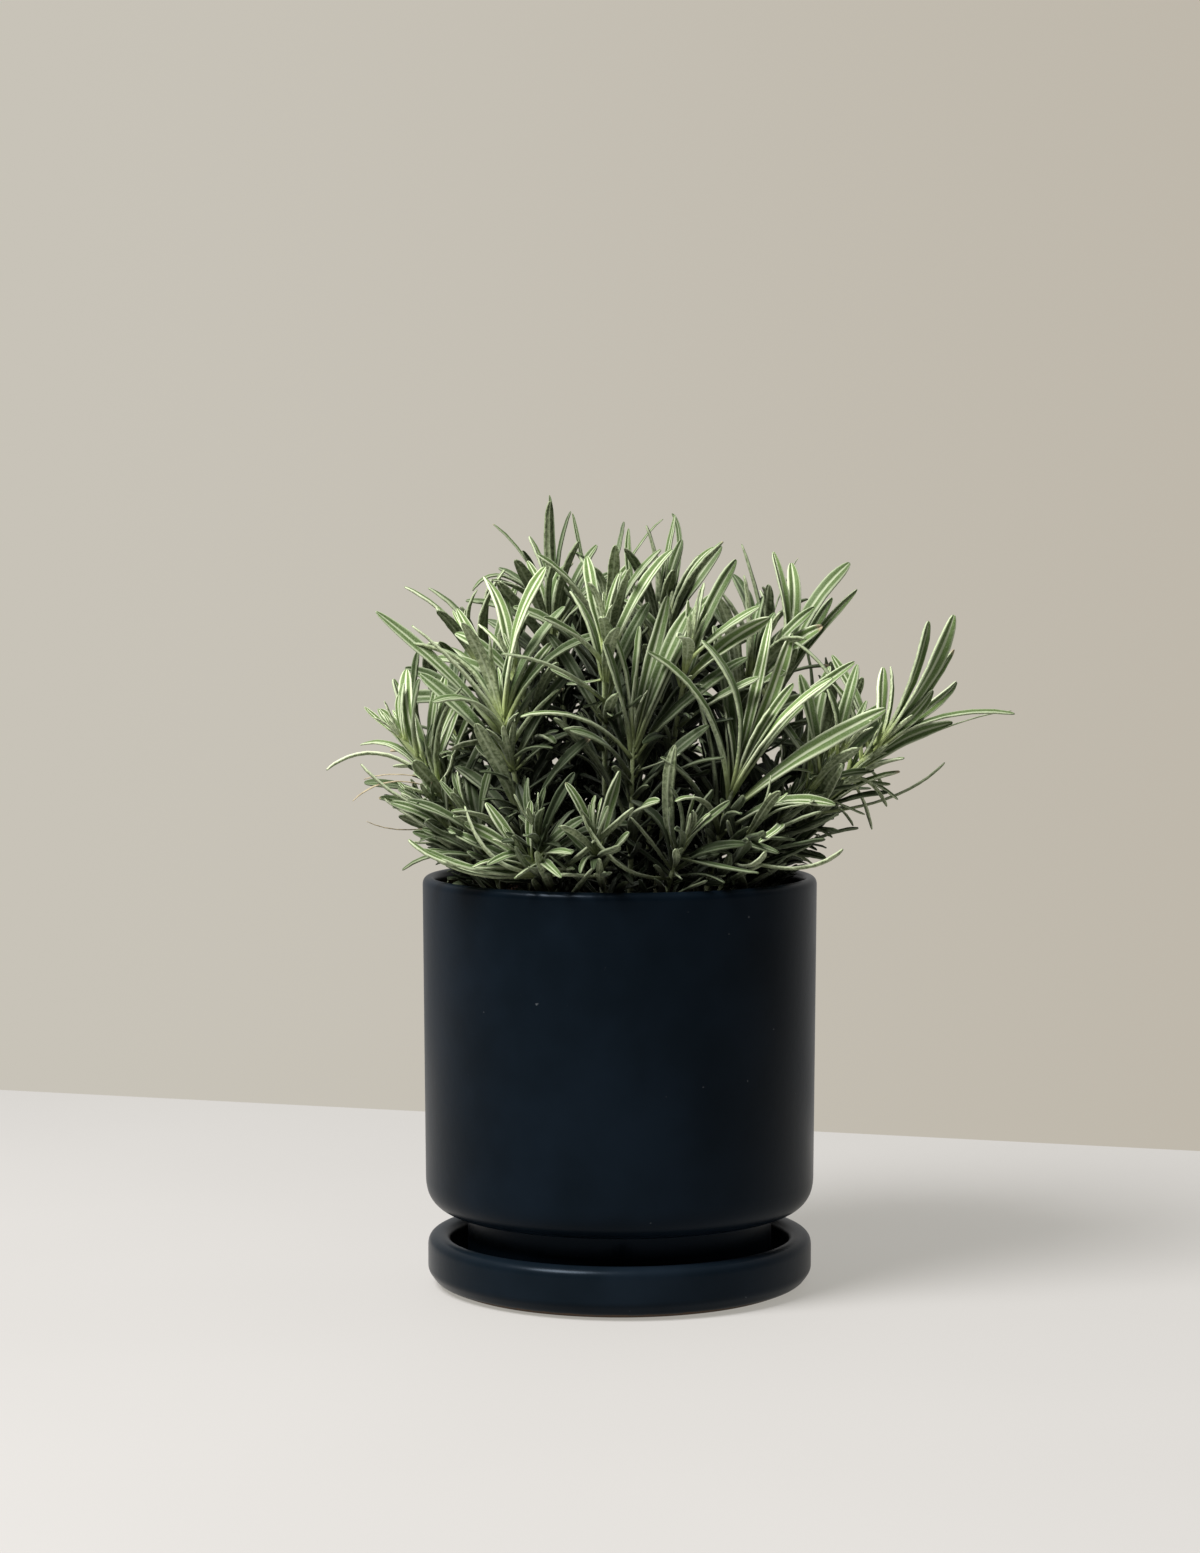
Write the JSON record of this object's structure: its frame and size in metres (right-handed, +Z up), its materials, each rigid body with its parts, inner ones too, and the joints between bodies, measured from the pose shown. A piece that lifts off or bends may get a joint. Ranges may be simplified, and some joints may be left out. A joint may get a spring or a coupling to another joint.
{
  "type": "potted lavender",
  "caption": "Leafy lavender plant without flowers, rooted in soil in a dark matt ceramic pot with a drain hole, which stands on its own round saucer on any flat surface.",
  "frame": {"origin": "centre of the saucer's flat underside, on the surface that the pot stands on", "axes": "+Z up along the pot's axis, -Y the front of the plant as pictured, +X its right-hand side"},
  "size_m": [0.2586, 0.1885, 0.299],
  "materials": {
    "saucer_glaze": "matt dark navy glaze, bare clay at the foot edge",
    "pot_glaze": "matt dark navy glaze with a soft sheen",
    "soil": "damp dark potting soil, crumbly",
    "foliage": "velvety grey-green leaves, paler below, pale margins and midrib"
  },
  "bodies": {
    "root": {"saucer": "saucer_glaze", "pot": "pot_glaze", "soil": "soil", "shoot_front_left": "foliage", "shoot_front_middle": "foliage", "shoot_front_right": "foliage", "shoot_far_right": "foliage", "shoot_far_left": "foliage", "shoot_rim_left": "foliage", "shoot_back_far_left": "foliage", "shoot_back_left": "foliage", "shoot_back_middle": "foliage", "shoot_back_right": "foliage", "shoot_inner_1": "foliage", "shoot_inner_2": "foliage", "shoot_inner_3": "foliage", "shoot_inner_4": "foliage", "shoot_inner_5": "foliage", "shoot_inner_6": "foliage", "shoot_middle_1": "foliage", "shoot_middle_2": "foliage", "shoot_middle_3": "foliage", "shoot_middle_4": "foliage", "shoot_middle_5": "foliage", "shoot_middle_6": "foliage", "shoot_middle_7": "foliage", "shoot_middle_8": "foliage", "shoot_middle_9": "foliage", "shoot_outer_1": "foliage", "shoot_outer_2": "foliage", "shoot_outer_3": "foliage", "shoot_outer_4": "foliage", "shoot_outer_5": "foliage", "shoot_outer_6": "foliage", "shoot_outer_7": "foliage", "shoot_outer_8": "foliage", "shoot_outer_9": "foliage", "shoot_low_1": "foliage", "shoot_low_2": "foliage", "shoot_low_3": "foliage", "shoot_low_4": "foliage", "shoot_low_5": "foliage", "shoot_low_6": "foliage", "shoot_low_7": "foliage", "shoot_low_8": "foliage", "shoot_low_9": "foliage", "shoot_low_10": "foliage", "shoot_low_11": "foliage", "shoot_low_12": "foliage", "shoot_low_13": "foliage", "shoot_low_14": "foliage", "shoot_low_15": "foliage"}
  },
  "joints": []
}
